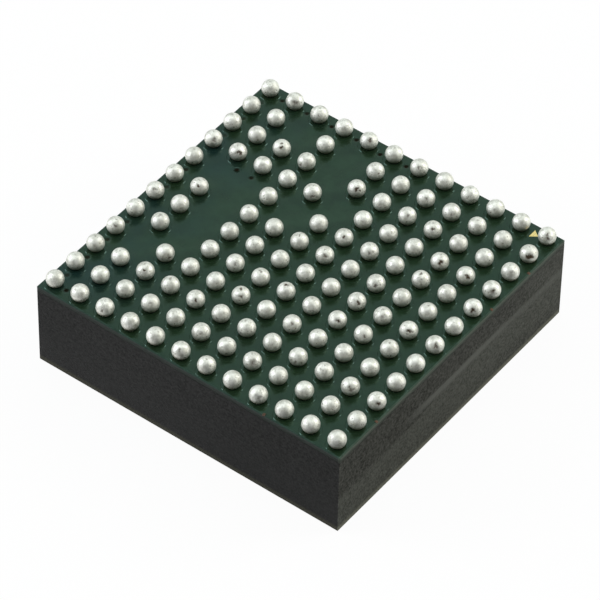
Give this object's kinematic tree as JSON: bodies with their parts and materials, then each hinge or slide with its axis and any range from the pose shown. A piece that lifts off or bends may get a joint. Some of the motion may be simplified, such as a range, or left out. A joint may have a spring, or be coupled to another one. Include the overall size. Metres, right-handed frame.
{
  "type": "dc-dc converter",
  "caption": "Moulded step-down power module in a ball-grid package, balls up: black epoxy block, green board, grid of solder balls with gaps and a gold corner mark.",
  "frame": {"origin": "centre of the flat moulded face, on which the module lies with its balls up", "axes": "+Z from the moulded face to the balls, +X and +Y along the package's sides towards the corner with the gold mark"},
  "size_m": [0.015, 0.015, 0.0049],
  "materials": {
    "mould_compound": "fine matte, sawn sides",
    "solder_mask": "glossy dark green",
    "solder": "satin tin alloy",
    "gold_plating": "satin",
    "pressed_powder": "matte",
    "copper": "satin",
    "chip_moulding": "matte",
    "capacitor_ceramic": "satin",
    "resistor_ceramic": "matte"
  },
  "bodies": {
    "root": {"mould_cap": "mould_compound", "substrate": "solder_mask", "pin_one_mark": "gold_plating", "input_balls": "solder", "ground_balls": "solder", "output_balls": "solder", "signal_balls": "solder", "inductor_core": "pressed_powder", "inductor_winding": "copper", "control_chip": "chip_moulding", "upper_mosfet": "chip_moulding", "lower_mosfet": "chip_moulding", "boost_diode": "chip_moulding", "input_capacitors": "capacitor_ceramic", "output_capacitors": "capacitor_ceramic", "boost_capacitor": "capacitor_ceramic", "supply_capacitor": "capacitor_ceramic", "soft_start_capacitor": "capacitor_ceramic", "compensation_capacitor": "capacitor_ceramic", "sense_capacitor": "capacitor_ceramic", "compensation_resistor": "resistor_ceramic", "frequency_resistor": "resistor_ceramic", "feedback_resistor": "resistor_ceramic", "sense_resistor": "resistor_ceramic", "solder_joints": "solder"}
  },
  "joints": []
}
